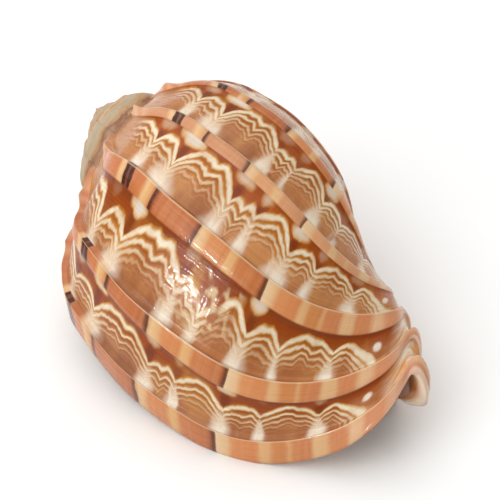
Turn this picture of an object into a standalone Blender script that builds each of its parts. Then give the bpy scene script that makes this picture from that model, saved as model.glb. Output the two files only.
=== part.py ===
# Harp shell, a marine snail's shell grown as one piece, lying on its opening.
#
# The shell is a spiral that grows by the same ratio in every turn. Its outside is one
# profile, drawn in the half plane through the spiral's axis, turned and scaled together.
# In the shell's own frame the apex is the origin, +Z runs down the axis to the front end
# with the canal's notch, and growth turns from +X towards +Y. A last rotation lays the
# shell on its lip, its belly and its tip, with the length along +X and up along +Z.

import math

import bmesh
import bpy
import numpy as np

MM = 0.001

# growth
GROWTH = 0.1368                  # natural log of the size ratio per radian
TURN = 2.0 * math.pi
WHORL_RATIO = math.exp(GROWTH * TURN)
WHORLS = 3
APEX_HEIGHT = 0.5
LIP_STEP = math.radians(11.5)    # the lip's edge, past the last rib's crisp side

# outside profile between the ribs at the lip: radius mm, distance along the axis mm,
# and how far the growth line lags there in degrees
PROFILE = np.array([
    (13.21, 13.04, 0.0),
    (16.3, 14.3, 2.5),
    (19.8, 16.2, 5.5),
    (23.6, 19.4, 5.0),
    (27.2, 23.4, 2.6),
    (29.7, 27.3, 0.8),
    (31.2, 30.8, 0.0),
    (32.5, 36.9, -0.2),
    (33.4, 43.0, -0.9),
    (33.3, 49.2, -1.7),
    (32.3, 57.0, -2.5),
    (30.0, 65.0, -3.6),
    (25.9, 72.8, -7.4),
    (21.7, 79.0, -15.0),
    (18.4, 84.6, -27.0),
    (16.2, 90.0, -44.0),
    (15.2, 94.6, -64.0),
    (15.1, 98.0, -86.0),
    (14.7, 100.6, -94.0),
    (13.1, 101.4, -89.0),
    (10.9, 99.9, -81.0),
    (8.2, 96.0, -72.0),
    (4.6, 89.0, -66.0),
])
SUTURE_POINT = 6                 # the next whorl's first point lies on this one
RIDGE_POINT = 18                 # top of the ridge that the canal's notch leaves behind

# inside profile of the same wall: radius mm and distance along the axis mm
LINING = np.array([
    (13.8, 14.7),
    (16.4, 15.9),
    (19.3, 17.7),
    (22.6, 20.6),
    (26.1, 24.4),
    (28.4, 28.0),
    (29.8, 31.3),
    (31.0, 37.1),
    (31.9, 43.0),
    (31.8, 49.1),
    (30.8, 56.7),
    (28.7, 64.4),
    (24.7, 71.9),
    (20.5, 78.0),
    (17.0, 83.9),
    (14.8, 89.4),
    (13.6, 93.2),
    (12.8, 95.6),
    (11.8, 96.8),
    (10.6, 96.9),
    (9.0, 95.6),
    (7.2, 92.4),
    (4.6, 85.6),
])

# ribs: crisp side in degrees from the lip's own rib, newest first; twelve in a turn
RIBS = (0.0, -24.8, -57.8, -85.9, -116.7, -148.5, -179.0, -210.0, -241.0, -272.0, -303.0, -333.0)
RIB_RISE = (0.8, 1.1, 1.2, 1.3, 1.2, 1.15, 1.15, 1.15, 1.15, 1.15, 1.15, 1.15, 1.1, 1.1, 1.3, 1.7,
            2.2, 2.8, 3.1, 2.8, 2.0, 1.0, 0.0)
RIB_WIDTH_OLD = math.radians(3.2)
RIB_WIDTH_NEW = math.radians(6.8)
RIB_CLIFF = math.radians(0.9)
SPINE_POINT = 2
SPINE_REACH = 0.018
SPINE_RISE = 0.8

# glaze over the belly beside the opening: the older whorl's outline where it is covered, which
# runs on past the old canal as the smooth pillar
GLAZED = np.array([
    (13.21, 13.04),
    (16.3, 14.3),
    (19.8, 16.2),
    (23.6, 19.4),
    (27.2, 23.4),
    (29.7, 27.3),
    (31.2, 30.8),
    (33.0, 36.8),
    (33.9, 43.0),
    (33.8, 49.3),
    (32.8, 57.2),
    (30.5, 65.3),
    (26.6, 73.4),
    (22.8, 80.2),
    (20.2, 86.6),
    (18.4, 92.2),
    (17.3, 97.0),
    (16.6, 101.0),
    (16.0, 104.5),
    (15.5, 107.5),
    (15.1, 110.5),
    (14.8, 113.5),
    (14.5, 116.5),
])
GLAZE_WIDTH = (34.0, 34.0, 34.0, 34.0, 34.0, 34.0, 34.0, 42.0, 50.0, 56.0, 60.0, 62.0, 62.0, 60.0, 56.0, 52.0,
               50.0, 50.0, 50.0, 50.0, 50.0, 50.0, 50.0)
GLAZE_EDGE = (7.0, 7.0, 7.0, 7.0, 7.0, 7.0, 7.0, 7.0, 7.0, 7.0, 7.0, 8.0, 12.0, 18.0, 26.0, 36.0,
              42.0, 44.0, 44.0, 44.0, 44.0, 44.0, 44.0)

# behind the lip the hollow inside the canal's ridge is filled up against the pillar
FILL = ((19, 13.0, 101.4), (20, 11.2, 101.4), (21, 8.9, 100.8), (22, 6.2, 99.4))
FILL_START = math.radians(-35.0)
FILL_REACH = math.radians(55.0)

# the thickened lip and the hollow behind it
LIP_THICKER = 0.9
LIP_FADE = math.radians(30.0)
CAVITY_DEPTH = math.radians(385.0)
LAG_FADE = math.radians(250.0)
CAVITY_STEP = math.radians(14.0)
PARIETAL_START = 0.035           # distance of the cavity's corner from the seam, along the profile
PARIETAL_REACH = 0.35

PILLAR_ROWS = 5
PILLAR_SLIMS = 0.6               # share of its radius the pillar loses towards the tip, between its two edges
PILLAR_FLOOR_SIDE = math.radians(84.5)
TIP_ROWS = 3
TIP_RISE = 3.0
TIP_BEND = 0.4

# lying position: which way is up, as an azimuth round the axis and a tilt of the axis
LIE_AZIMUTH = math.radians(-95.52)
LIE_TILT = math.radians(-15.38)
WORN_FLAT = 0.4                 # mm worn off where the shell stands


def smooth(x):
    """Ease from 0 to 1 with level ends."""
    x = np.clip(x, 0.0, 1.0)
    return x * x * (3.0 - 2.0 * x)


def natural_spline(knots, values):
    """Second derivatives of the natural cubic through values at the knots."""
    count = len(knots)
    step = np.diff(knots)
    slope = np.diff(values, axis=0) / step[:, None]
    matrix = np.eye(count)
    right = np.zeros_like(values)
    for i in range(1, count - 1):
        matrix[i, i - 1:i + 2] = step[i - 1], 2.0 * (step[i - 1] + step[i]), step[i]
        right[i] = 6.0 * (slope[i] - slope[i - 1])
    return np.linalg.solve(matrix, right)


def on_spline(knots, values, bend, where):
    """The spline's value at each place in where."""
    where = np.asarray(where, float)
    k = np.clip(np.searchsorted(knots, where, side="right") - 1, 0, len(knots) - 2)
    step = (knots[k + 1] - knots[k])[..., None]
    before = (where - knots[k])[..., None]
    after = (knots[k + 1] - where)[..., None]
    cubic = (bend[k] * after ** 3 + bend[k + 1] * before ** 3) / (6.0 * step)
    line = (values[k] / step - bend[k] * step / 6.0) * after
    return cubic + line + (values[k + 1] / step - bend[k + 1] * step / 6.0) * before


def chord_knots(points):
    """Places 0 to 1 along the profile in proportion to its chords."""
    reach = np.hypot(np.diff(points[:, 0]), np.diff(points[:, 1]))
    along = np.concatenate([[0.0], np.cumsum(reach)])
    return along / along[-1]


KNOTS = chord_knots(PROFILE)
PROFILE_BEND = natural_spline(KNOTS, PROFILE)
LINING_BEND = natural_spline(KNOTS, LINING)
GLAZED_BEND = natural_spline(KNOTS, GLAZED)
FILLED = PROFILE[:, :2].copy()
for knot, fill_radius, fill_axial in FILL:
    FILLED[knot] = fill_radius, fill_axial
FILL_SHIFT = FILLED - PROFILE[:, :2]
SEAM = KNOTS[SUTURE_POINT]


def outside_profile(s):
    """Radius, axial distance, lag in radians and outward normal at s."""
    point = on_spline(KNOTS, PROFILE, PROFILE_BEND, s)
    near = 1e-4
    ahead = on_spline(KNOTS, PROFILE, PROFILE_BEND, np.clip(s + near, 0.0, 1.0))
    behind = on_spline(KNOTS, PROFILE, PROFILE_BEND, np.clip(s - near, 0.0, 1.0))
    run = ahead - behind
    length = np.hypot(run[..., 0], run[..., 1])
    return point[..., 0], point[..., 1], np.radians(point[..., 2]), run[..., 1] / length, -run[..., 0] / length


def on_spiral(angle, radius, axial):
    """Point of the spiral: the half plane's point turned by angle and grown by the same angle."""
    size = np.exp(GROWTH * angle)
    return np.stack([size * radius * np.cos(angle), size * radius * np.sin(angle), size * axial], -1)


def rib_width(crisp):
    """Angle a rib's band covers: ribs widen towards the lip."""
    return RIB_WIDTH_OLD + (RIB_WIDTH_NEW - RIB_WIDTH_OLD) * smooth((np.degrees(crisp) + 95.0) / 40.0)


def rib_section(growth):
    """Height 0 to 1 over the ribs: a cliff on the older side, a slope on the newer; and the spine's share."""
    height = np.zeros_like(growth)
    spine = np.zeros_like(growth)
    for whorl in range(WHORLS + 1):
        for crisp_degrees in RIBS:
            crisp = math.radians(crisp_degrees) - TURN * whorl
            width = rib_width(crisp)
            past = (growth - crisp) / width
            cliff = smooth(1.0 + (growth - crisp) / RIB_CLIFF)
            slope = 1.0 - 0.25 * np.clip(past, 0.0, 1.0) - 0.75 * smooth((past - 0.75) / 1.1)
            if whorl == 0 and crisp_degrees == 0.0:
                slope = 1.0 - 0.25 * np.clip(past, 0.0, 1.8)
            height = np.maximum(height, np.where(past < 0.0, cliff, slope))
            spine = np.maximum(spine, np.where(past < 0.0, cliff, 1.0 - smooth(past / 0.75)))
    return np.clip(height, 0.0, 1.0), spine


def glaze_cover(angle, s):
    """1 where the glaze covers the older whorl beside the opening, 0 past its edge."""
    past = np.degrees(angle - (LIP_STEP - TURN))
    width = np.interp(s, KNOTS, GLAZE_WIDTH)
    return smooth((width - past) / np.interp(s, KNOTS, GLAZE_EDGE)) * smooth((s - SEAM) / 0.03)


def outer_surface(growth, s):
    """The outside with its ribs, at a growth step and a place along the profile."""
    radius, axial, lag, normal_r, normal_z = outside_profile(s)
    height, spine = rib_section(growth)
    cover = np.where(growth > LIP_STEP - TURN - 1e-9, glaze_cover(growth + lag, s), 0.0)
    bare = np.clip(1.0 - 2.5 * cover, 0.0, 1.0)
    filled = smooth((FILL_START - growth) / FILL_REACH)
    buried = filled * smooth((s - KNOTS[RIDGE_POINT]) / (KNOTS[-2] - KNOTS[RIDGE_POINT]))
    rise = np.interp(s, KNOTS, RIB_RISE) * height * bare * (1.0 - buried)
    point = SPINE_RISE * spine * bare * np.exp(-((s - KNOTS[SPINE_POINT] - 0.006) / SPINE_REACH) ** 2)
    radius = radius + normal_r * rise + 0.25 * point
    axial = axial + normal_z * rise - 0.9 * point
    radius = radius + filled * np.interp(s, KNOTS, FILL_SHIFT[:, 0])
    axial = axial + filled * np.interp(s, KNOTS, FILL_SHIFT[:, 1])
    glazed = on_spline(KNOTS, GLAZED, GLAZED_BEND, s)
    radius = radius + (glazed[..., 0] - radius) * cover
    axial = axial + (glazed[..., 1] - axial) * cover
    return on_spiral(growth + lag, radius, axial)


def growth_steps():
    """Growth steps of all whorls, close together at each rib, the same places in every whorl."""
    crisp = np.sort(np.radians(RIBS))
    following = np.append(crisp[1:], crisp[0] + TURN)
    steps = []
    for start, end in zip(crisp, following):
        width = rib_width(start)
        steps += [start, start + 0.45 * width, start + width, start + 1.7 * width]
        steps += [0.5 * (start + 1.7 * width + end), end - RIB_CLIFF]
    steps = np.array(steps)
    steps = np.where(steps > LIP_STEP, steps - TURN, steps)
    steps = np.sort(steps[(steps < LIP_STEP - 0.02) & (steps > LIP_STEP - TURN + 0.02)])
    steps = np.append(steps, LIP_STEP)
    whorls = [steps - TURN * turn for turn in range(WHORLS - 1, -1, -1)]
    return np.concatenate([[LIP_STEP - TURN * WHORLS]] + whorls), len(steps)


class Skin:
    """Vertices and faces gathered as the surface is laid down."""

    def __init__(self):
        self.points = []
        self.faces = []

    def add(self, point):
        self.points.append(np.asarray(point, float))
        return len(self.points) - 1

    def face(self, corners):
        """A face, with corners that meet left out."""
        kept = [c for i, c in enumerate(corners) if c != corners[i - 1]]
        if len(kept) > 2:
            self.faces.append(kept)

    def band(self, lower, upper, closed):
        """Faces between two rows of the same number of vertices."""
        count = len(lower)
        for i in range(count if closed else count - 1):
            j = (i + 1) % count
            self.face([lower[i], lower[j], upper[j], upper[i]])

    def fan(self, ring, centre):
        """Faces from a closed ring to one vertex."""
        for i in range(len(ring)):
            self.face([ring[i], ring[(i + 1) % len(ring)], centre])


def lay_outside(skin, rows, steps, per_whorl):
    """Outside of all whorls: each whorl's first row is the older whorl's seam row."""
    seam_row = int(np.argmin(np.abs(rows - SEAM)))
    first_full = len(steps) - 1 - per_whorl
    grid = outer_surface(*np.meshgrid(steps, rows, indexing="ij"))
    opened = smooth(4.0 * np.arange(per_whorl) / per_whorl)[:, None, None]
    seam = grid[:per_whorl, seam_row:seam_row + 1]
    grid[:per_whorl, :seam_row] = seam + (grid[:per_whorl, :seam_row] - seam) * opened
    index = np.full((len(steps), len(rows)), -1)
    index[0, :seam_row + 1] = skin.add(grid[0, seam_row])
    for i in range(len(steps)):
        for j in range(len(rows) if i >= first_full else seam_row + 1):
            if index[i, j] >= 0:
                continue
            if j == 0 and i >= per_whorl:
                index[i, j] = index[i - per_whorl, seam_row]
            else:
                index[i, j] = skin.add(grid[i, j])
    for i in range(len(steps) - 1):
        height = len(rows) if i >= first_full else seam_row + 1
        skin.band(index[i, :height], index[i + 1, :height], False)
    skin.fan(list(index[per_whorl:0:-1, 0]), skin.add((0.0, 0.0, APEX_HEIGHT)))
    return index, seam_row, first_full, grid


def lay_pillar(skin, index, grid, first_full):
    """Pillar round the axis from the last whorl's end row to the tip."""
    edge = grid[first_full:, -1]
    count = len(edge)
    foot = edge[-1]
    foot_radius = math.hypot(foot[0], foot[1])
    angle = np.arctan2(edge[:, 1], edge[:, 0])
    radius = np.hypot(edge[:, 0], edge[:, 1])
    at_floor = np.cos(0.5 * (angle - PILLAR_FLOOR_SIDE)) ** 8
    at_foot = np.cos(0.5 * (angle - angle[-1])) ** 16
    slims = PILLAR_SLIMS * (1.0 - at_floor) * (1.0 - at_foot)
    pillar = np.full((count, PILLAR_ROWS + 1), -1)
    pillar[:, 0] = index[first_full:, -1]
    pillar[-1, :] = index[-1, -1]
    pillar[0, -1] = index[-1, -1]
    for i in range(count - 1):
        for k in range(1, PILLAR_ROWS + 1):
            if pillar[i, k] >= 0:
                continue
            part = k / PILLAR_ROWS
            slim = 1.0 - slims[i] * smooth((part - 0.25) / 0.75)
            r = (radius[i] + (foot_radius - radius[i]) * part) * slim
            z = edge[i, 2] + (foot[2] - edge[i, 2]) * part
            pillar[i, k] = skin.add((r * math.cos(angle[i]), r * math.sin(angle[i]), z))
    for i in range(count - 1):
        skin.band(pillar[i], pillar[i + 1], False)
    ring = pillar[:-1, -1]
    lean = np.array([foot[0], foot[1]]) * TIP_BEND
    for k in range(1, TIP_ROWS):
        turn = 0.5 * math.pi * k / TIP_ROWS
        centre = lean * (1.0 - math.cos(turn))
        new = []
        for i in range(count - 1):
            r = foot_radius * (1.0 - slims[i]) * math.cos(turn)
            new.append(skin.add((centre[0] + r * math.cos(angle[i]), centre[1] + r * math.sin(angle[i]),
                                 foot[2] + TIP_RISE * math.sin(turn))))
        skin.band(ring, new, True)
        ring = new
    skin.fan(list(ring), skin.add((lean[0], lean[1], foot[2] + TIP_RISE)))
    return pillar


def cavity_ring(rows, seam_row, depth_out, depth_in, thicker):
    """One ring of the cavity's wall, from the seam round the lip side, up the pillar and the older whorl."""
    flat = 1.0 - smooth(-depth_in / LAG_FADE)
    _, _, lag, normal_r, normal_z = outside_profile(rows)
    lining = on_spline(KNOTS, LINING, LINING_BEND, rows)
    extra = thicker * smooth(rows / 0.1) * smooth((0.8 - rows) / 0.2)
    outer = on_spiral(LIP_STEP + depth_out + lag * flat,
                      lining[:, 0] - normal_r * extra, lining[:, 1] - normal_z * extra)
    low = GLAZED[-1] / WHORL_RATIO
    part = np.arange(PILLAR_ROWS - 1, 0, -1)[:, None] / PILLAR_ROWS
    pole = low + (LINING[-1] - low) * part
    post = on_spiral(LIP_STEP + depth_in + np.full(len(pole), lag[-1] * flat), pole[:, 0], pole[:, 1])
    s = rows[:seam_row:-1]
    s = s + PARIETAL_START * smooth(1.0 - (s - SEAM) / PARIETAL_REACH)
    glazed = on_spline(KNOTS, GLAZED, GLAZED_BEND, s)
    older_lag = outside_profile(s)[2] * flat
    older = on_spiral(LIP_STEP + depth_in - TURN + older_lag, glazed[:, 0], glazed[:, 1])
    return np.concatenate([outer, post, older])


def lay_cavity(skin, index, pillar, rows, seam_row, first_full):
    """The lip's thickness and the hollow behind it, ending in a plain wall out of sight."""
    ring = list(index[-1]) + list(pillar[0, PILLAR_ROWS - 1:0:-1]) + list(index[first_full, :seam_row:-1])
    depths = [(0.0, -0.03, 0.35), (-0.02, -0.08, 1.0), (-0.1, -0.17, 0.9)]
    depth = -0.25
    while depth > -CAVITY_DEPTH:
        depths.append((depth, depth - 0.05, 1.0 - smooth(-depth / LIP_FADE)))
        depth -= CAVITY_STEP if depth < -0.6 else 0.6 * CAVITY_STEP
    for depth_out, depth_in, thicker in depths:
        points = cavity_ring(rows, seam_row, depth_out, depth_in, thicker * LIP_THICKER)
        new = [skin.add(p) for p in points]
        skin.band(ring, new, True)
        ring = new
    depth += 0.5 * CAVITY_STEP
    new = [skin.add(p) for p in cavity_ring(rows, seam_row, depth, depth, 0.0)]
    skin.band(ring, new, True)
    skin.face(new)


def lie_down(points):
    """Turn the shell onto its opening, wear the standing points flat, and centre it over the origin."""
    up = np.array([math.cos(LIE_TILT) * math.cos(LIE_AZIMUTH),
                   math.cos(LIE_TILT) * math.sin(LIE_AZIMUTH),
                   math.sin(LIE_TILT)])
    along = np.array([0.0, 0.0, 1.0]) - up * up[2]
    along /= np.linalg.norm(along)
    across = np.cross(up, along)
    laid = points @ np.stack([along, across, up]).T
    laid[:, 2] = np.maximum(laid[:, 2] - laid[:, 2].min() - WORN_FLAT, 0.0)
    middle = 0.5 * (laid.min(axis=0) + laid.max(axis=0))
    laid[:, :2] -= middle[:2]
    return laid


def make_shell():
    """The whole shell as one closed mesh."""
    rows = np.concatenate([KNOTS[:2], [KNOTS[2] - 0.004, KNOTS[2] + 0.012], KNOTS[3:5], KNOTS[6:]])
    steps, per_whorl = growth_steps()
    skin = Skin()
    index, seam_row, first_full, grid = lay_outside(skin, rows, steps, per_whorl)
    pillar = lay_pillar(skin, index, grid, first_full)
    lay_cavity(skin, index, pillar, rows, seam_row, first_full)
    points = lie_down(np.array(skin.points))
    mesh = bpy.data.meshes.new("harp_shell")
    mesh.from_pydata((points * MM).tolist(), [], skin.faces)
    body = bmesh.new()
    body.from_mesh(mesh)
    bmesh.ops.triangulate(body, faces=body.faces[:])
    bmesh.ops.recalc_face_normals(body, faces=body.faces[:])
    body.to_mesh(mesh)
    body.free()
    mesh.shade_smooth()
    return mesh


def shell_material():
    """Glossy banded shell: salmon ribs and red brown fields average to a warm tan."""
    material = bpy.data.materials.new("glossy_shell")
    material.use_nodes = True
    shader = material.node_tree.nodes["Principled BSDF"]
    shader.inputs["Base Color"].default_value = (0.52, 0.26, 0.12, 1.0)
    shader.inputs["Roughness"].default_value = 0.28
    shader.inputs["Metallic"].default_value = 0.0
    return material


for old in list(bpy.data.objects):
    bpy.data.objects.remove(old, do_unlink=True)

shell = bpy.data.objects.new("harp_shell", make_shell())
bpy.context.scene.collection.objects.link(shell)
shell.data.materials.append(shell_material())
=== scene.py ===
"""Harp shell lying on its opening, with the banding and scallops of its ribs and fields.

The shell is one closed surface worked out with numpy: a profile that turns round an axis and
grows by the same ratio in every turn. Everything that the material needs to know, such as how
far a spot is from the last rib, is worked out with the surface and kept as attributes.
"""

import math
from functools import partial

import bpy
import numpy as np
from mathutils import Matrix


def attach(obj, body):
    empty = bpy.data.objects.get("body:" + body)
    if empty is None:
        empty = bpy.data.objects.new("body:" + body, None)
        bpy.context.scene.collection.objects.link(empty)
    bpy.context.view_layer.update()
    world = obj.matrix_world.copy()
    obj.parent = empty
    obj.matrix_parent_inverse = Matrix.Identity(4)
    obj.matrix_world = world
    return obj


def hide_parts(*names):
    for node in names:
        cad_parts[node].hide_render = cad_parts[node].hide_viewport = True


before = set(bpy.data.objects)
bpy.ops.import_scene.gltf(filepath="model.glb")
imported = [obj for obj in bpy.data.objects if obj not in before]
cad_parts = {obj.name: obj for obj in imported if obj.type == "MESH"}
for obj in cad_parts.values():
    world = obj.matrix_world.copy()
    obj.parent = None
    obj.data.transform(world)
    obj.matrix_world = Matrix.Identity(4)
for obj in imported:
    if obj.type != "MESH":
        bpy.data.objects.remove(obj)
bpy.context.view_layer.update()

bl_info = {
    "name": "Harp Shell",
    "version": (1, 0, 0),
    "blender": (4, 5, 0),
    "location": "View3D > Sidebar > Harp Shell",
    "description": "Builds a harp shell with its ribs, scalloped pattern and glaze, and a pale studio",
    "category": "Object",
}

MM = 0.001
TURN = 2.0 * math.pi
DEG = math.pi / 180.0

# the shell's form, in its own frame: apex at the origin, +Z down the axis to the canal

GROWTH = 0.1368  # natural log of the size ratio per radian
WHORL_RATIO = math.exp(GROWTH * TURN)

# outside profile between the ribs at the lip: radius mm, distance along the axis mm,
# and how far the growth line lags there in degrees
PROFILE = np.array([
    (13.21, 13.04, 0.0), (16.3, 14.3, 2.5), (19.8, 16.2, 5.5), (23.6, 19.4, 5.0), (27.5, 23.2, 2.6),
    (30.0, 27.2, 0.8), (31.2, 30.8, 0.0), (32.5, 36.9, -0.2), (33.4, 43.0, -0.9), (33.3, 49.2, -1.7),
    (32.3, 57.0, -2.5), (30.0, 65.0, -3.6), (25.9, 72.8, -7.4), (22.1, 79.1, -15.0), (19.5, 85.1, -27.0),
    (18.3, 90.9, -44.0), (17.3, 95.3, -64.0), (15.7, 98.3, -86.0), (14.7, 100.6, -94.0),
    (13.1, 101.4, -89.0), (10.9, 99.9, -81.0), (8.2, 96.0, -72.0), (4.6, 89.0, -66.0)])
SUTURE_POINT = 6  # the next whorl's first point lies on this one
RIDGE_POINT = 18  # top of the ridge that the canal's notch leaves behind

# inside profile of the same wall
LINING = np.array([
    (13.8, 14.7), (16.4, 15.9), (19.3, 17.7), (22.6, 20.6), (26.1, 24.4), (28.4, 28.0), (29.8, 31.3),
    (31.0, 37.1), (31.9, 43.0), (31.8, 49.1), (30.8, 56.7), (28.7, 64.4), (24.7, 71.9), (20.5, 78.0),
    (17.0, 83.9), (14.8, 89.4), (13.6, 93.2), (12.8, 95.6), (11.8, 96.8), (10.6, 96.9), (9.0, 95.6),
    (7.2, 92.4), (4.6, 85.6)])

# the belly under its glaze, which runs on past the old canal as the smooth pillar
GLAZED = np.array([
    (13.21, 13.04), (16.3, 14.3), (19.8, 16.2), (23.6, 19.4), (27.2, 23.4), (29.7, 27.3), (31.2, 30.8),
    (33.0, 36.8), (33.9, 43.0), (33.8, 49.3), (32.8, 57.2), (30.5, 65.3), (26.6, 73.4), (22.8, 80.2),
    (20.2, 86.6), (18.4, 92.2), (17.3, 97.0), (16.6, 101.0), (16.0, 104.5), (15.5, 107.5),
    (15.1, 110.5), (14.8, 113.5), (14.5, 116.5)])
# how far past the opening the glaze reaches and how soft it ends, in degrees at each of these points
GLAZE_WIDTH = (34.0,) * 7 + (42.0, 50.0, 56.0, 60.0, 62.0, 62.0, 60.0, 56.0, 52.0) + (50.0,) * 7
GLAZE_EDGE = (7.0,) * 11 + (8.0, 12.0, 18.0, 26.0, 36.0, 42.0) + (44.0,) * 6

# ribs: crisp side in degrees from the lip's own rib, newest first, and the angle each band covers
RIBS = (0.0, -24.8, -57.8, -85.9, -116.7, -148.5, -179.0, -210.0, -241.0, -272.0, -303.0, -333.0)
RIB_BANDS = (6.6, 5.4, 7.9, 5.0, 5.2, 4.8, 4.8, 4.8, 4.8, 4.8, 4.8, 4.8)
# by how much each band is wider at the bottom than at the shoulder, and from where on the profile
RIB_WIDENS = (0.5, 0.85, 0.65, 0.18, 0.1, 0.15, 0.2, 0.2, 0.2, 0.2, 0.2, 0.2)
RIB_WIDENS_FROM = (0.45, 0.18, 0.46, 0.4, 0.4, 0.4, 0.4, 0.4, 0.4, 0.4, 0.4, 0.4)
# rise of the ribs in mm at each point of the profile
RIB_RISE = (0.8, 1.1, 1.2, 1.3, 1.2, 1.15, 1.15, 1.15, 1.15, 1.15, 1.15, 1.15, 1.1, 1.05, 0.85, 0.5,
            0.6, 1.4, 2.7, 3.2, 2.7, 1.3, 0.0)
RIB_CLIFF = 0.7 * DEG  # angle that a rib's steep side takes
# the lip's own rib stands higher or lower than the others: place along the profile, and by how many mm
LIP_RIB = ((0.0, 0.0), (0.04, -0.4), (0.06, -0.7), (0.088, 1.1), (0.11, 0.5), (0.15, -0.2), (0.20, 0.15),
           (0.24, 0.0), (0.31, -0.4), (0.47, -0.4), (0.55, 0.0), (0.70, 0.1), (0.74, 0.5), (0.79, 0.5),
           (0.83, 0.9), (0.865, 1.2), (0.90, 0.2), (1.0, 0.0))
SHOULDER_SINKS = 1.6  # mm that the shoulder sinks towards the lip
SINK_START = -90.0 * DEG  # and over which angle and share of the profile it does
SINK_REACH = 70.0 * DEG
SINK_DOWN = 0.15
SPIRE_SWELLS = 2.3  # mm, at the lip's size, that the old whorls stand out between their seams
SPIRE_START = -5.0  # and over which angle in radians that begins
SPIRE_REACH = 3.5
SPINE_POINT = 2  # the shoulder, where the ribs carry their spines
SPINE_SHIFT = 0.006  # the spine's tip lies so far past that point, along the profile
OLD_RIBS_START = -190.0 * DEG  # ribs older than this are low and broad at the shoulder
LOW_RIBS_START = -95.0 * DEG  # ribs older than this are half as high near the canal
COLLAR = 0.8  # place along the profile where the rows come closer
CLOSE_ROWS = 0.0028  # fixed rows closer than this are left out
APEX_RISE = -0.1  # mm along the axis from the spiral's origin to the apex

# behind the lip the hollow inside the canal's ridge is filled up against the pillar
# (point of the profile, its new radius and distance along the axis), and where the filling sets in
FILL = ((19, 13.0, 101.4), (20, 11.2, 101.4), (21, 8.9, 100.8), (22, 6.2, 99.4))
FILL_START = -35.0 * DEG
FILL_REACH = 55.0 * DEG

# the cavity's first rings: how far in the outer wall and the pillar's side are, and the lip's thickening
LIP_STAGES = ((0.0, -0.012, 0.15), (-0.004, -0.03, 0.45), (-0.013, -0.055, 0.75), (-0.028, -0.08, 0.95),
              (-0.06, -0.12, 1.0), (-0.11, -0.17, 0.95))
FIRST_RING = -0.2  # radians; further rings follow at steps that are wider deep inside
RING_STEP = 8.0 * DEG
RING_STEP_DEEP = 13.0 * DEG
DEEP_INSIDE = -3.0
RING_LEAN = 0.05  # radians that the pillar's side of a ring is further in
LIP_FADE = 30.0 * DEG  # over this angle the lip's thickening ends
CAVITY_DEPTH = 385.0 * DEG  # how far round the spiral the shell is hollow
LAG_FADE = 250.0 * DEG  # over this angle the rings straighten
PARIETAL_START = 0.035  # distance of the cavity's corner from the seam, along the profile
PARIETAL_REACH = 0.35  # and over what share of the profile that distance ends
CANAL_WALL = 1.4  # wall at the canal's rolled edge in mm, and how far in it stays thin
CANAL_HOLLOW = 26.0 * DEG
PILLAR_ROWS = 9
PILLAR_SLIMS = 0.6  # share of its radius the pillar loses towards the tip, between its two edges
PILLAR_FLOOR_SIDE = 84.5 * DEG  # the edge that stands on the floor; the other one is the pillar's foot
TIP_ROWS = 7
TIP_RISE = 3.0  # height of the tip's dome in mm, and how far its middle bends towards the foot
TIP_BEND = 0.4
EDGE_FACE = 0.03  # radians that the edge's own face counts for in the colours

# lying position: which way is up in the shell's own frame, and where that frame's origin comes to lie
LIE_AZIMUTH = -95.52 * DEG
LIE_TILT = -15.38 * DEG
LIE_SHIFT = np.array([-42.8866, 5.9926, 24.2184])

# the pattern's plan, as places along the profile

# the zigzag's main points, where the cream bands of the ribs fan out: place, reach across the
# field, and how white and how long the patch on the older rib's side is
POINTS = (
    (0.195, 0.40, 0.3, 0.015), (0.257, 0.42, 1.0, 0.024), (0.388, 0.37, 0.6, 0.017),
    (0.441, 0.32, 0.5, 0.011), (0.526, 0.37, 0.9, 0.018), (0.586, 0.31, 0.25, 0.010),
    (0.678, 0.34, 0.25, 0.014), (0.762, 0.92, 0.0, 0.01))
# smaller points inside the scallops
LESSER_POINTS = (
    (0.160, 0.03), (0.226, 0.10), (0.300, 0.02), (0.328, 0.07), (0.357, 0.03), (0.414, 0.13),
    (0.465, 0.03), (0.489, 0.03), (0.555, 0.06), (0.615, 0.03), (0.640, 0.06), (0.716, 0.03))
# white patches that are faint: field, point, and the share that stays
FAINT_PATCHES = ((2, 0, 0.3), (2, 2, 0.35), (2, 3, 0.0), (2, 5, 0.0), (2, 6, 0.0), (1, 3, 0.4), (1, 5, 0.2),
                 (4, 2, 0.3), (4, 3, 0.3), (4, 5, 0.3), (5, 3, 0.3))
POINT_REACH = 0.037  # half width of a point along the profile
LESSER_REACH = 0.0155
LAST_POINT_FROM = 0.75  # points past this one belong to the line that closes the field
LAST_POINT_REACH = 0.062
FIELD_SHIFT = (0.0, 0.06, 0.05)  # how much later the lines begin in the newest fields
FIELD_WIDTH = 0.113  # a field's usual width as a share of the profile's length
TORN_FIELD = 2  # the field whose lines are torn and smudged
NEXT_RIB = 33.0 * DEG  # where the next rib would have come
WORN_FROM = -140.0 * DEG  # from here back the shoulder is worn
WORN_WHOLLY = -335.0 * DEG  # and from here back all that shows of the whorl
CLIFF_FROM = 0.975  # share of the field where the next rib's steep side begins
# vectors that the surface carries at each corner, and how many numbers they make
ATTRIBUTES = ("shell_place", "shell_field", "shell_point", "shell_cover", "shell_line")
NUMBERS = 3 * len(ATTRIBUTES)
# each field, newest first: how red and deep its brown is
FIELD_DEPTH = (1.0, 1.0, 0.3, 0.5, 0.5, 0.55, 0.6, 0.6, 0.55, 0.6, 0.6, 0.6)


def linear(code):
    """An sRGB hex colour as linear numbers with alpha."""
    parts = [int(code[k:k + 2], 16) / 255.0 for k in (1, 3, 5)]
    return tuple(c / 12.92 if c <= 0.04045 else ((c + 0.055) / 1.055) ** 2.4 for c in parts) + (1.0,)


def smooth(x):
    """Ease from 0 to 1 with level ends: three times the square less twice the cube."""
    x = np.clip(x, 0.0, 1.0)
    return x * x * (3.0 - 2.0 * x)


# settings that a user would change


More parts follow.
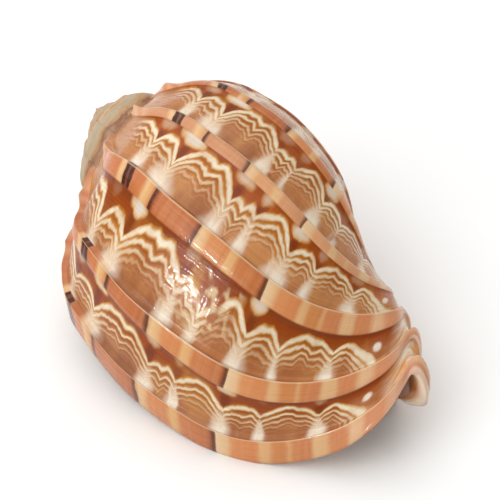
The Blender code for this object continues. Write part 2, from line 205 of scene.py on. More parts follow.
class HarpShellForm(bpy.types.PropertyGroup):
    """Sizes of the shell."""
    whorls: bpy.props.IntProperty(
        name="Whorls", description="Turns of the spiral that are built", default=5, min=3, max=6)
    lip_step: bpy.props.FloatProperty(
        name="Lip past its rib", description="Angle from the last rib's crisp side to the lip's edge",
        default=11.5 * DEG, subtype="ANGLE")
    column: bpy.props.FloatProperty(
        name="Column", description="Widest angle between two columns of the surface",
        default=1.6 * DEG, subtype="ANGLE")
    row: bpy.props.FloatProperty(
        name="Row", description="Longest step along the profile, as a share of it", default=0.0095)
    spine_reach: bpy.props.FloatProperty(
        name="Spine reach", description="Half length of a rib's spine along the profile", default=0.017)
    spine_rise: bpy.props.FloatProperty(
        name="Spine rise", description="Height of the spine where a rib crosses the shoulder, in mm",
        default=1.0)
    lip_thicker: bpy.props.FloatProperty(
        name="Lip thickening", description="How much thicker the lip is than the wall, in mm", default=0.9)
    worn_flat: bpy.props.FloatProperty(
        name="Worn flat", description="Depth worn off where the shell stands, in metres",
        default=0.0004, unit="LENGTH", subtype="DISTANCE", precision=5)


def colour_property(name, description, code):
    """A colour setting whose default is an sRGB hex value."""
    return bpy.props.FloatVectorProperty(
        name=name, description=description, default=linear(code), size=4, subtype="COLOR", min=0.0, max=1.0)


class HarpShellColours(bpy.types.PropertyGroup):
    """Colours of the shell."""
    line: colour_property("Zigzag cream", "Cream of the zigzag lines", "#EEDFC4")
    white: colour_property("Patch white", "White of the patches beside the older rib", "#DFD2C2")
    fan: colour_property("Fan cream", "Cream that fans out to the newer rib", "#EFE2CE")
    tan: colour_property("Field tan", "Tan of the fields beside the newer rib", "#CA8F62")
    brown: colour_property("Field brown", "Red brown of the fields beside the older rib", "#923D10")
    dark: colour_property("Field dark", "Dark brown at the zigzag's points", "#702608")
    edge: colour_property("Line edge", "Brown line that borders the cream lines", "#7C300A")
    bar: colour_property("Rib bar", "Nearly black bars on the ribs", "#3A1008")
    callus: colour_property("Glaze", "Glaze over the belly and pillar", "#EBD3B4")
    blotch: colour_property("Glaze blotch", "Brown blotches in the glaze", "#6B2F14")
    lining: colour_property("Lining", "Inside of the shell", "#F1E2CC")


class HarpShellStudio(bpy.types.PropertyGroup):
    """Camera and floor."""
    focal: bpy.props.FloatProperty(
        name="Focal length", description="Focal length for a 36 mm sensor, in mm", default=146.2)
    place: bpy.props.FloatVectorProperty(
        name="Camera place", description="Where the camera stands", default=(0.18644, -0.18574, 0.27137),
        size=3, subtype="TRANSLATION")
    floor: colour_property("Floor", "Pale floor", "#FCFCFB")


# curves


def natural_spline(knots, values):
    """Second derivatives of the natural cubic through values at the knots."""
    count = len(knots)
    step = np.diff(knots)
    slope = np.diff(values, axis=0) / step[:, None]
    matrix = np.eye(count)
    right = np.zeros_like(values)
    for i in range(1, count - 1):
        matrix[i, i - 1:i + 2] = step[i - 1], 2.0 * (step[i - 1] + step[i]), step[i]
        right[i] = 6.0 * (slope[i] - slope[i - 1])
    return np.linalg.solve(matrix, right)


def on_spline(knots, values, bend, where):
    """The spline's value at each place: a straight line between knots and a cubic for its bend."""
    where = np.asarray(where, float)
    k = np.clip(np.searchsorted(knots, where, side="right") - 1, 0, len(knots) - 2)
    step = (knots[k + 1] - knots[k])[..., None]
    before = (where - knots[k])[..., None]
    after = (knots[k + 1] - where)[..., None]
    cubic = (bend[k] * after ** 3 + bend[k + 1] * before ** 3) / (6.0 * step)
    line = (values[k] / step - bend[k] * step / 6.0) * after
    return cubic + line + (values[k + 1] / step - bend[k + 1] * step / 6.0) * before


def chord_knots(points):
    """Places 0 to 1 along the profile in proportion to its chords."""
    reach = np.hypot(np.diff(points[:, 0]), np.diff(points[:, 1]))
    along = np.concatenate([[0.0], np.cumsum(reach)])
    return along / along[-1]


KNOTS = chord_knots(PROFILE)
PROFILE_BEND = natural_spline(KNOTS, PROFILE)
LINING_BEND = natural_spline(KNOTS, LINING)
GLAZED_BEND = natural_spline(KNOTS, GLAZED)
FILLED = PROFILE[:, :2].copy()
for knot, fill_radius, fill_axial in FILL:
    FILLED[knot] = fill_radius, fill_axial
FILL_SHIFT = FILLED - PROFILE[:, :2]
SEAM = KNOTS[SUTURE_POINT]
RISE = np.array(RIB_RISE)[:, None]
RISE_BEND = natural_spline(KNOTS, RISE)


def outside_profile(s):
    """Radius, axial distance, lag in radians and outward normal of the profile at s."""
    point = on_spline(KNOTS, PROFILE, PROFILE_BEND, s)
    near = 1e-4
    ahead = on_spline(KNOTS, PROFILE, PROFILE_BEND, np.clip(s + near, 0.0, 1.0))
    behind = on_spline(KNOTS, PROFILE, PROFILE_BEND, np.clip(s - near, 0.0, 1.0))
    run = ahead - behind
    length = np.hypot(run[..., 0], run[..., 1])
    normal_r, normal_z = run[..., 1] / length, -run[..., 0] / length
    return point[..., 0], point[..., 1], np.radians(point[..., 2]), normal_r, normal_z


def on_spiral(angle, radius, axial):
    """Point of the spiral: the half plane's point turned by angle and grown by the exponential of it."""
    size = np.exp(GROWTH * angle)
    return np.stack([size * radius * np.cos(angle), size * radius * np.sin(angle), size * axial], -1)


# ribs and columns


def rib_list(whorls):
    """Crisp side and band angle of every rib, newest first, in radians."""
    crisp = np.radians(np.array(RIBS))
    band = np.radians(np.array(RIB_BANDS))
    turns = np.arange(whorls + 2)[:, None] * TURN
    return (crisp[None, :] - turns).ravel(), np.tile(band, whorls + 2)


def band_spread(s, number):
    """How much wider a rib's band is at s than at the shoulder: it eases out to three quarters down."""
    start = np.array(RIB_WIDENS_FROM)[number % len(RIBS)]
    return 1.0 + np.array(RIB_WIDENS)[number % len(RIBS)] * smooth((s - start) / (0.78 - start))


def rib_section(growth, s, ribs, bands):
    """Height of the ribs and of their spines.

    Each rib is a cliff on its older side, a nearly flat top that sinks by a fifth over the band,
    and an eased slope down to the field on its newer side.
    """
    height = np.zeros_like(growth)
    spine = np.zeros_like(growth)
    for k, (crisp, band) in enumerate(zip(ribs, bands)):
        near = (growth[:, 0] > crisp - 0.1) & (growth[:, 0] < crisp + 4.0 * band)
        if not near.any():
            continue
        here = growth[near]
        past = (here - crisp) / (band * band_spread(s[near], k))
        cliff = smooth(1.0 + (here - crisp) / RIB_CLIFF)
        slope = 1.0 - 0.2 * np.clip(past, 0.0, 1.0) - 0.8 * smooth((past - 0.82) / 0.5)
        if k == 0:
            slope = 1.0 - 0.25 * np.clip(past, 0.0, 1.8)
        tall = 1.0 + 0.08 * math.sin(5.3 * k + 0.7)
        height[near] = np.maximum(height[near], tall * np.where(here < crisp, cliff, slope))
        spine[near] = np.maximum(spine[near], np.where(here < crisp, cliff, 1.0 - smooth(past / 0.8)))
    return np.clip(height, 0.0, 1.2), spine


def glaze_cover(angle, s, lip_step):
    """1 where the glaze covers the older whorl beside the opening, 0 past its edge."""
    past = np.degrees(angle - (lip_step - TURN))
    width = np.interp(s, KNOTS, GLAZE_WIDTH)
    return smooth((width - past) / np.interp(s, KNOTS, GLAZE_EDGE)) * smooth((s - SEAM) / 0.03)


def swell(growth, s):
    """Slow unevenness of growth in mm: three sine waves of a few mm along and across the whorl."""
    return (0.045 * np.sin(23.0 * growth + 9.0 * s) + 0.035 * np.sin(61.0 * growth - 31.0 * s + 1.3)
            + 0.03 * np.sin(14.0 * growth + 83.0 * s + 0.4))


def shoulder_sink(growth, s):
    """Millimetres that the newest shoulder sinks: a smooth hollow over the first part of the profile."""
    late = smooth((growth - SINK_START) / SINK_REACH)
    return SHOULDER_SINKS * late * np.sin(math.pi * np.clip(s / SINK_DOWN, 0.0, 1.0)) ** 2


def outer_surface(growth, s, form, ribs, bands):
    """The outside: the profile pushed out by ribs, spines and glaze, then carried along the spiral.

    The push along the profile's normal is the ribs' rise times their height, plus the lip rib's own
    rise, less the shoulder's sink, plus the spire's swell and the slow unevenness of growth. Past
    the canal's ridge the profile moves to the filling, and under the glaze it moves to the glaze.
    """
    radius, axial, lag, normal_r, normal_z = outside_profile(s)
    height, spine = rib_section(growth, s, ribs, bands)
    start = form.lip_step - TURN
    cover = np.where(growth > start - 1e-9, glaze_cover(growth + lag, s, form.lip_step), 0.0)
    bare = np.clip(1.0 - 2.5 * cover, 0.0, 1.0)
    filled = smooth((FILL_START - growth) / FILL_REACH)
    buried = filled * smooth((s - KNOTS[RIDGE_POINT]) / (KNOTS[-2] - KNOTS[RIDGE_POINT]))
    early = smooth((growth + TURN * (form.whorls - 1.0)) / TURN)

    # near the seam of the older half turn the ribs are low and broad
    spent = smooth(OLD_RIBS_START - growth) * (1.0 - smooth((s - 0.12) / 0.1))
    height = height + (0.95 - height) * 0.75 * spent
    rise = np.maximum(on_spline(KNOTS, RISE, RISE_BEND, s)[..., 0], 0.0)
    sunk = smooth((LOW_RIBS_START - growth) / 0.25) * smooth((s - 0.6) / 0.1)
    rise = rise * (1.0 - 0.5 * sunk * (1.0 - smooth((s - 0.745) / 0.03)))
    rise = rise * height * bare * (1.0 - buried) * early
    newest = smooth(1.0 + growth / RIB_CLIFF)
    rise = rise + newest * np.interp(s, *np.array(LIP_RIB).T)
    rise = rise - shoulder_sink(growth, s)
    swollen = smooth((SPIRE_START - growth) / SPIRE_REACH) * smooth(s / 0.05) * smooth((SEAM - s) / 0.06)
    rise = rise + SPIRE_SWELLS * swollen * early
    rise = rise + swell(growth, s) * bare * smooth(s / 0.05) * smooth((SEAM - s) / 0.02 + 1.0)

    # spines point back towards the apex and a little outwards
    at_spine = np.exp(-((s - KNOTS[SPINE_POINT] - SPINE_SHIFT) / form.spine_reach) ** 2)
    point = form.spine_rise * spine * bare * early * (1.0 - 0.7 * spent) * at_spine
    radius = radius + normal_r * rise + 0.25 * point
    axial = axial + normal_z * rise - 0.9 * point
    radius = radius + filled * np.interp(s, KNOTS, FILL_SHIFT[:, 0])
    axial = axial + filled * np.interp(s, KNOTS, FILL_SHIFT[:, 1])
    glazed = on_spline(KNOTS, GLAZED, GLAZED_BEND, s)
    radius = radius + (glazed[..., 0] - radius) * cover
    axial = axial + (glazed[..., 1] - axial) * cover
    return on_spiral(growth + lag, radius, axial), cover


def growth_columns(form):
    """Growth of every column: even steps between ribs, close ones at each crisp side."""
    ribs, bands = rib_list(0)
    ribs = ribs[:len(RIBS) + 1]
    marks = []
    for newer, older, band in zip(ribs[:-1], ribs[1:], np.roll(bands, -1)):
        inside = np.linspace(older + band, newer - RIB_CLIFF,
                             2 + int((newer - older - band) / form.column))
        top = np.linspace(older, older + band, 5)[:-1]
        cliff = newer - RIB_CLIFF * np.array([0.75, 0.5, 0.25])
        marks.append(np.concatenate([top, inside, cliff]))
    marks = np.concatenate(marks)
    marks = np.where(marks > form.lip_step, marks - TURN, marks)
    lip = np.linspace(0.0, form.lip_step, 10)
    older_end = form.lip_step - TURN
    marks = marks[(marks < -1e-6) & (marks > older_end + 1e-3)]
    one = np.unique(np.round(np.concatenate([marks, lip, [0.0]]), 7))
    one = one[np.concatenate([[True], np.diff(one) > 1e-4])]
    whorls = [one - TURN * turn for turn in range(form.whorls - 1, -1, -1)]
    return np.concatenate([[form.lip_step - TURN * form.whorls]] + whorls), len(one)


def profile_rows(form):
    """Places of the rows: even steps between the zigzag's points, so that each point has a row."""
    spine = KNOTS[SPINE_POINT]
    main = [p[0] for p in POINTS]
    fixed = [0.0, spine - 0.004, spine + SPINE_SHIFT, spine + 0.016, SEAM, COLLAR, 1.0]
    fixed += main + [p[0] for p in LESSER_POINTS]
    fixed += [0.5 * (a + b) for a, b in zip(main[:-1], main[1:])]
    fixed = np.unique(np.round(fixed, 6))
    fixed = fixed[np.concatenate([[True], np.diff(fixed) > CLOSE_ROWS])]
    rows = []
    for a, b in zip(fixed[:-1], fixed[1:]):
        step = form.row if a < COLLAR else 0.45 * form.row
        rows.append(np.linspace(a, b, 1 + max(1, math.ceil((b - a) / step)))[:-1])
    rows = np.concatenate(rows + [[1.0]])
    rows[np.argmin(np.abs(rows - SEAM))] = SEAM
    return rows


# the pattern's fields, worked out per corner


def zigzag(rows, field):
    """The first cream line across a field, for one field: place, spacing to the next, and thickness.

    The place is a low share of the field plus a peak at each of the zigzag's points. A peak is one
    less the distance over its reach, raised to a power, so it is sharp at the point and runs out
    gently into the scallop. The spacing shrinks towards the main points. The thickness grows with
    the line's slant, so that slanting arms look as thick as upright ones.
    """
    chance = np.random.default_rng(40 + field)
    first = np.full_like(rows, 0.10 + 0.03 * chance.random())
    spacing = np.full_like(rows, 0.198 + 0.02 * chance.random())
    for place, reach, _, _ in POINTS:
        reach = reach * (1.0 + 0.24 * (chance.random() - 0.5))
        if place > LAST_POINT_FROM:
            away = np.clip(1.0 - (place - rows) / LAST_POINT_REACH, 0.0, 1.0) ** 1.25
            away = np.where(rows > place, 1.0, away)
            first = first + 0.92 * away
            spacing = spacing + 0.3 * away
            continue
        away = np.clip(1.0 - np.abs(rows - place) / POINT_REACH, 0.0, 1.0) ** 1.3
        first = first + reach * away
        spacing = spacing - 0.05 * away
    for place, reach in LESSER_POINTS:
        shift = 0.006 * (chance.random() - 0.5)
        reach = reach * (0.6 + 0.8 * chance.random())
        away = smooth(1.0 - np.abs(rows - place - shift) / LESSER_REACH)
        first = first + reach * away
        spacing = spacing + 0.35 * reach * away
    if field < len(FIELD_SHIFT):
        first = first + FIELD_SHIFT[field]
    if field == TORN_FIELD:
        first = first + 0.17 * np.exp(-((rows - 0.458) / 0.03) ** 2)
    slant = np.gradient(first, rows) * FIELD_WIDTH
    return first, spacing, np.sqrt(1.0 + slant * slant) ** 0.85


def pattern_corners(columns, rows, cover, ribs, bands):
    """Per corner numbers of the outside, five vectors for each corner of each grid face.

    place: s, growth in turns, how strong the lines stay where they are most worn away
    field: share of the field past the rib's band, the first line's share, spacing of the lines
    point: distance from the nearest main point, whiteness there, share of the rib's band
    cover: glaze, worn spire, depth of the field's brown
    line:  thickness of the lines, chance number of the field, half length of the white patch
    """
    middle = 0.5 * (columns[:-1] + columns[1:])
    # the owner is the rib whose crisp side is behind the face
    owner = np.clip(np.searchsorted(-ribs, -middle, side="left"), 0, len(ribs) - 1)[:, None]
    crisp = ribs[owner]
    newer = np.where(owner > 0, ribs[owner - 1], ribs[0] + NEXT_RIB)
    number = owner % len(RIBS)
    fields = np.array([zigzag(rows, k) for k in range(len(ribs))])
    main, _, white, tall = np.array(POINTS).T
    white = np.tile(white, (len(RIBS), 1))
    for field, point, share in FAINT_PATCHES:
        white[field, point] *= share
    nearest = np.argmin(np.abs(0.5 * (rows[:-1] + rows[1:])[:, None] - main[None, :]), axis=1)
    deep = np.array(FIELD_DEPTH, np.float32)[(number - 1) % len(RIBS)]
    across, down = len(columns) - 1, len(rows) - 1
    out = np.zeros((across, down, 4, NUMBERS), np.float32)
    for c, (i, j) in enumerate(((0, 0), (1, 0), (1, 1), (0, 1))):
        g = columns[i:i + across, None]
        s = rows[None, j:j + down]
        width = bands[owner] * band_spread(s, owner)
        share = (g - crisp - width) / (newer - crisp - width)
        first, spacing, thick = (fields[owner[:, 0], part, j:j + down] for part in range(3))
        worn = smooth((WORN_FROM - g) / (80.0 * DEG)) * (1.0 - smooth((s - 0.10) / 0.1))
        older = smooth((WORN_WHOLLY - g) / (25.0 * DEG)) * (s < SEAM + 0.02)
        torn = np.exp(-((s - 0.452) / 0.045) ** 4) * (number == TORN_FIELD)
        past = (g - crisp) / width
        out[:, :, c] = np.stack(np.broadcast_arrays(
            s, g / TURN, 0.7 - 0.85 * torn,
            share, first, spacing,
            np.abs(s - main[nearest]), white[number[:, 0]][:, nearest],
            np.where(owner == 0, np.minimum(past, 0.9), past),
            cover[i:i + across, j:j + down], np.maximum(worn, older), deep,
            thick * np.where(owner == 1, 0.8, 1.0), (owner * 0.618) % 1.0,
            tall[nearest] * (1.3 - 0.5 * deep)), -1)
    return out


# putting the surface together


def grid_faces(index):
    """The four corners of each face between neighbouring entries of an index grid."""
    return np.stack([index[:-1, :-1], index[1:, :-1], index[1:, 1:], index[:-1, 1:]], -1)


def cavity_ring(rows, seam_row, depth_out, depth_in, thicker, form):
    """One ring of the cavity's wall, from the seam round the lip side, up the pillar and the belly.

    The outer wall is the lining's profile on the spiral, the pillar is a straight run between the
    older glaze's end and the lining's end, and the belly is the older whorl's glazed outside.
    """
    flat = 1.0 - smooth(-depth_in / LAG_FADE)
    _, _, lag, normal_r, normal_z = outside_profile(rows)
    lining = on_spline(KNOTS, LINING, LINING_BEND, rows)
    extra = thicker * smooth(rows / 0.1) * smooth((0.8 - rows) / 0.2) + shoulder_sink(depth_out, rows)
    radius, axial = lining[:, 0] - normal_r * extra, lining[:, 1] - normal_z * extra
    rolled = smooth((rows - 0.78) / 0.08) * (1.0 - smooth(-depth_out / CANAL_HOLLOW))
    edge_radius, edge_axial = outside_profile(rows)[:2]
    radius = radius + rolled * (edge_radius - CANAL_WALL * normal_r - radius)
    axial = axial + rolled * (edge_axial - CANAL_WALL * normal_z - axial)
    outer = on_spiral(form.lip_step + depth_out + lag * flat, radius, axial)
    low = GLAZED[-1] / WHORL_RATIO
    part = np.arange(PILLAR_ROWS - 1, 0, -1)[:, None] / PILLAR_ROWS
    pole = low + (LINING[-1] - low) * part
    post = on_spiral(form.lip_step + depth_in + np.full(len(pole), lag[-1] * flat), pole[:, 0], pole[:, 1])
    s = rows[:seam_row:-1]
    s = s + PARIETAL_START * smooth(1.0 - (s - SEAM) / PARIETAL_REACH)
    glazed = on_spline(KNOTS, GLAZED, GLAZED_BEND, s)
    older_lag = outside_profile(s)[2] * flat
    older = on_spiral(form.lip_step + depth_in - TURN + older_lag, glazed[:, 0], glazed[:, 1])
    return np.concatenate([outer, post, older])


def lie_down(points, worn_flat):
    """Turn the shell onto its opening and wear the standing points flat.

    The rows of the turn are along the axis, across it, and up; then the frame's shift is added.
    """
    up = np.array([math.cos(LIE_TILT) * math.cos(LIE_AZIMUTH),
                   math.cos(LIE_TILT) * math.sin(LIE_AZIMUTH),
                   math.sin(LIE_TILT)])
    along = np.array([0.0, 0.0, 1.0]) - up * up[2]
    along /= np.linalg.norm(along)
    across = np.cross(up, along)
    laid = points @ np.stack([along, across, up]).T + LIE_SHIFT
    laid[:, 2] -= max(0.0, laid[:, 2].min() + worn_flat)
    laid[:, 2] = np.maximum(laid[:, 2], 0.0)
    return laid


class Surface:
    """Points and faces taken in so far, with the numbers that the materials read at each corner."""

    def __init__(self):
        self.count = 0
        self.points, self.faces, self.numbers, self.kinds = [], [], [], []

    def more(self, points):
        """Take points in and give their numbers."""
        made = self.count + np.arange(points[..., 0].size)
        self.points.append(points.reshape(-1, 3))
        self.count += len(made)
        return made.reshape(points.shape[:-1])

    def lay(self, faces, numbers, kind):
        """Take faces in, with the numbers of each corner and the number of their material."""
        self.faces.append(faces.reshape(-1, 4))
        self.numbers.append(numbers.reshape(-1, 4, NUMBERS))
        self.kinds.append(np.full(len(self.faces[-1]), kind))

    def lay_lining(self, index, s, depth, which):
        """Take the faces of an index grid in, with the numbers that the lining's material reads."""
        faces = grid_faces(index)
        numbers = np.zeros(faces.shape + (NUMBERS,), np.float32)
        numbers[..., 0], numbers[..., 1], numbers[..., 2] = s, depth, which
        self.lay(faces, numbers, 1)


def lay_pillar(surface, edge, top):
    """The pillar: the last whorl's end row drawn down evenly to a ring of one radius, then a bent dome.

    On the way down each spot's radius goes from its own to the foot's in even steps, and eases
    smaller by the pillar's slimming except at its two edges. The dome's rings shrink as a cosine
    and rise as a sine, while their middle bends towards the foot.
    """
    foot = edge[-1]
    angle = np.arctan2(edge[:-1, 1], edge[:-1, 0])[:, None]
    radius = np.hypot(edge[:-1, 0], edge[:-1, 1])[:, None]
    part = np.arange(1, PILLAR_ROWS + 1)[None, :] / PILLAR_ROWS
    at_floor = np.cos(0.5 * (angle - PILLAR_FLOOR_SIDE)) ** 8
    at_foot = np.cos(0.5 * (angle - math.atan2(foot[1], foot[0]))) ** 16
    slim = 1.0 - PILLAR_SLIMS * smooth((part - 0.25) / 0.75) * (1.0 - at_floor) * (1.0 - at_foot)
    r = (radius + (math.hypot(foot[0], foot[1]) - radius) * part) * slim
    z = edge[:-1, 2:] + (foot[2] - edge[:-1, 2:]) * part
    body = np.stack([r * np.cos(angle), r * np.sin(angle), z], -1)
    pillar = np.full((len(edge), PILLAR_ROWS + 1), top[-1])
    pillar[:, 0] = top
    inner = np.ones(body.shape[:2], bool)
    inner[0, -1] = False
    pillar[:-1, 1:][inner] = surface.more(body[inner])
    surface.lay_lining(pillar, 1.0, 0.0, 1.0)
    lean = foot[:2] * TIP_BEND
    turn = 0.5 * math.pi * np.arange(1, TIP_ROWS)[:, None] / TIP_ROWS
    centre = lean * (1.0 - np.cos(turn))[..., None]
    ring_shape = np.stack([np.cos(angle[:, 0]), np.sin(angle[:, 0])], -1) * r[:, -1:]
    around = centre + ring_shape[None] * np.cos(turn)[..., None]
    height = np.broadcast_to(foot[2] + TIP_RISE * np.sin(turn), around.shape[:2])
    dome = surface.more(np.concatenate([around, height[..., None]], -1))
    tip = surface.more(np.array([[lean[0], lean[1], foot[2] + TIP_RISE]]))
    rings = np.concatenate([pillar[:-1, -1][None], dome, np.full((1, len(edge) - 1), tip)], 0)
    surface.lay_lining(np.concatenate([rings, rings[:, :1]], 1).T, 1.0, 0.0, 1.0)
    return pillar


def lay_cavity(surface, first, rows, seam_row, form):
    """The cavity's wall: rings from the lip's edge back round the spiral; gives the last ring."""
    stages = list(LIP_STAGES)
    depth = FIRST_RING
    while depth > -CAVITY_DEPTH:
        stages.append((depth, depth - RING_LEAN, 1.0 - smooth(-depth / LIP_FADE)))
        depth -= RING_STEP if depth > DEEP_INSIDE else RING_STEP_DEEP
    stages.append((depth, depth, 0.0))
    wall = np.array([cavity_ring(rows, seam_row, a, b, c * form.lip_thicker, form) for a, b, c in stages])
    index = np.concatenate([first[None], surface.more(wall)], 0)
    index = np.concatenate([index, index[:, :1]], 1)
    along = np.concatenate([rows, np.full(PILLAR_ROWS - 1, 1.0), rows[:seam_row:-1], rows[:1]])
    which = np.repeat([0.0, 1.0, 2.0], [len(rows), PILLAR_ROWS - 1, len(rows) - seam_row])
    inward = np.array([0.0] + [stage[0] - EDGE_FACE for stage in stages])
    corner_s = np.stack([along[:-1], along[:-1], along[1:], along[1:]], -1)
    corner_depth = np.stack([inward[:-1], inward[1:], inward[1:], inward[:-1]], -1)[:, None, :]
    surface.lay_lining(index, corner_s, corner_depth, np.maximum(which[:-1], which[1:])[None, :, None])
    return index[-1, :-1]


def shell_surface(form):
    """Points, faces, corner numbers and material numbers of the whole closed shell, and its inmost ring."""
    ribs, bands = rib_list(form.whorls)
    rows = profile_rows(form)
    columns, per_whorl = growth_columns(form)
    seam_row = int(np.argmin(np.abs(rows - SEAM)))
    first_full = len(columns) - 1 - per_whorl
    growth, place = np.meshgrid(columns, rows, indexing="ij")
    grid, cover = outer_surface(growth, place, form, ribs, bands)
    opened = smooth(4.0 * np.arange(per_whorl) / per_whorl)[:, None, None]
    seam = grid[:per_whorl, seam_row:seam_row + 1]
    grid[:per_whorl, :seam_row] = seam + (grid[:per_whorl, :seam_row] - seam) * opened

    # outside: own points first, then each whorl's first row is the older whorl's seam row
    used = np.zeros(grid.shape[:2], bool)
    used[:, :seam_row + 1] = True
    used[first_full:] = True
    own = used.copy()
    own[per_whorl:, 0] = False
    own[0, :seam_row] = False
    surface = Surface()
    index = np.full(grid.shape[:2], -1)
    index[own] = surface.more(grid[own])
    index[0, :seam_row] = index[0, seam_row]
    for start in range(per_whorl, len(columns), per_whorl):
        stop = min(start + per_whorl, len(columns))
        index[start:stop, 0] = index[start - per_whorl:stop - per_whorl, seam_row]
    keep = used[1:, 1:] & used[:-1, :-1] & used[1:, :-1] & used[:-1, 1:]
    corners = pattern_corners(columns, rows, cover, ribs, bands)
    surface.lay(grid_faces(index)[keep], corners[keep], 0)

    # apex: a fan from the first turn's first row to one point, wholly worn
    apex = np.full(per_whorl, surface.more(np.array([[0.0, 0.0, APEX_RISE]])))
    ring = index[:per_whorl + 1, 0]
    numbers = np.zeros((per_whorl, 4, NUMBERS), np.float32)
    numbers[..., [1, 3, 8, 10, 14]] = columns[0] / TURN, 0.5, 3.0, 1.0, 0.01
    surface.lay(np.stack([ring[:-1], apex, apex, ring[1:]], -1), numbers, 0)

    pillar = lay_pillar(surface, grid[first_full:, -1], index[first_full:, -1])
    first = np.concatenate([index[-1], pillar[0, PILLAR_ROWS - 1:0:-1], index[first_full, :seam_row:-1]])
    end = lay_cavity(surface, first, rows, seam_row, form)
    made = (surface.points, surface.faces, surface.numbers, surface.kinds)
    return tuple(np.concatenate(part) for part in made) + (end,)


def build_mesh(form):
    """The shell's mesh: faces with two corners in one place become triangles, and the rest are quads."""
    points, quads, numbers, kinds, end = shell_surface(form)
    same = quads == np.roll(quads, 1, axis=1)
    doubled = same.sum(1)
    whole = doubled == 0
    three = doubled == 1
    kept = ~same[three]
    triangles = quads[three][kept].reshape(-1, 3)
    mesh = bpy.data.meshes.new("harp_shell_surface")
    points = lie_down(points, form.worn_flat / MM)
    mesh.from_pydata(points * MM, [], quads[whole].tolist() + triangles.tolist() + [end.tolist()])
    values = np.concatenate([numbers[whole].reshape(-1, NUMBERS), numbers[three][kept],
                             np.zeros((len(end), NUMBERS), np.float32)])
    values[-len(end):, 1] = -CAVITY_DEPTH
    for k, name in enumerate(ATTRIBUTES):
        layer = mesh.attributes.new(name, "FLOAT_VECTOR", "CORNER")
        layer.data.foreach_set("vector", np.ascontiguousarray(values[:, 3 * k:3 * k + 3]).ravel())
    order = np.concatenate([kinds[whole], kinds[three], [1]]).astype(np.int32)
    mesh.polygons.foreach_set("material_index", order)
    mesh.shade_smooth()
    mesh.update()
    return mesh


# materials

# short names of the node types in use, and the settings that go with them
NODES = {
    "range": ("MapRange", {}), "ease": ("MapRange", {"interpolation_type": "SMOOTHSTEP"}),
    "mix": ("Mix", {"data_type": "RGBA"}), "noise": ("TexNoise", {}), "ramp": ("ValToRGB", {}),
    "join": ("CombineXYZ", {}), "split": ("SeparateXYZ", {}), "vector": ("VectorMath", {}),
    "place": ("TexCoord", {}), "attribute": ("Attribute", {}), "bump": ("Bump", {}),
    "tone": ("HueSaturation", {})}
SIGNS = {"+": "ADD", "-": "SUBTRACT", "*": "MULTIPLY", "/": "DIVIDE", "*+": "MULTIPLY_ADD", "max": "MAXIMUM",
         "fract": "FRACT", "abs": "ABSOLUTE", "more": "GREATER_THAN", "less": "LESS_THAN"}
ARAGONITE_IOR = 1.53  # the mineral's own


def feed(socket, value):
    """Link a socket, or set it; a colour may be an sRGB hex value."""
    if isinstance(value, bpy.types.NodeSocket):
        socket.id_data.links.new(value, socket)
    elif value is not None:
        socket.default_value = linear(value) if isinstance(value, str) else value


def add(tree, kind, *inputs, out=0, **settings):
    """Add one node with its inputs in their order and its settings, and give back one of its outputs.

    The kind is one of the short names or signs; products and maxima take any number of inputs.
    """
    if kind in ("*", "max") and len(inputs) > 2:
        inputs = (add(tree, kind, *inputs[:-1]), inputs[-1])
    name, preset = ("Math", {"operation": SIGNS[kind]}) if kind in SIGNS else NODES[kind]
    made = tree.nodes.new("ShaderNode" + name)
    for key, value in {**preset, **settings}.items():
        setattr(made, key, value)
    for socket, value in zip([socket for socket in made.inputs if socket.enabled], inputs):
        feed(socket, value)
    return made.outputs[out] if out else [socket for socket in made.outputs if socket.enabled][0]


def set_stops(socket, stops):
    """Give a colour ramp its stops, as places and sRGB hex values."""
    ramp = socket.node.color_ramp
    while len(ramp.elements) < len(stops):
        ramp.elements.new(1.0)
    for element, (place, code) in zip(ramp.elements, stops):
        element.position = place
        element.color = linear(code)
    return socket


def layered(put, base, *layers):
    """Colours laid over a base one after the other, each as its share and its colour."""
    for share, colour in layers:
        base = put("mix", share, base, colour)
    return base


def plateau(put, x, low, high, soft_low, soft_high):
    """1 between low and high, easing to 0 over the soft widths outside them."""
    up = put("ease", x, low - soft_low, low)
    down = put("ease", x, high + soft_high, high)
    return put("*", up, down)


def read_numbers(put, name):
    """The three numbers of one of the surface's attributes."""
    split = put("split", put("attribute", out="Vector", attribute_name=name)).node
    return split.outputs[0], split.outputs[1], split.outputs[2]


def stretched(put, spot, along, across, layer):
    """A spot's turns and place along the profile, each stretched, and a layer of its own."""
    turns, s = spot
    return put("join", put("*", turns, along), put("*", s, across), layer)


def grain(put, spot, along, across, layer, detail, roughness):
    """Noise with so many cells in a turn and along the whole profile."""
    return put("noise", stretched(put, spot, along, across, layer), 1.0, detail, roughness)


# a colour ramp holds 32 stops, so one runs down to this place along the profile and one on from it
RIB_STOPS_JOIN = 0.46
RIB_STOPS_OLD = (  # s from 0 to the join
    (0.0, "#D9B58A"), (0.02, "#C98A60"), (0.05, "#E2B48A"), (0.06, "#C88660"), (0.075, "#E0B088"),
    (0.09, "#C47E58"), (0.105, "#DDA880"), (0.12, "#C07A52"), (0.170, "#C27C50"), (0.178, "#E6C894"),
    (0.186, "#E3C48E"), (0.19, "#9E5838"), (0.215, "#B86C40"), (0.238, "#C47A46"), (0.247, "#E8CB94"),
    (0.262, "#D8A468"), (0.270, "#A65A30"), (0.30, "#B66C3A"), (0.345, "#B26836"), (0.367, "#A0582C"),
    (0.374, "#C58F60"), (0.380, "#E8CFA0"), (0.390, "#E3C08A"), (0.401, "#D49058"), (0.434, "#CC8650"),
    (0.443, "#E2BE84"), (0.453, "#DDB278"), (0.46, "#C4824E"))
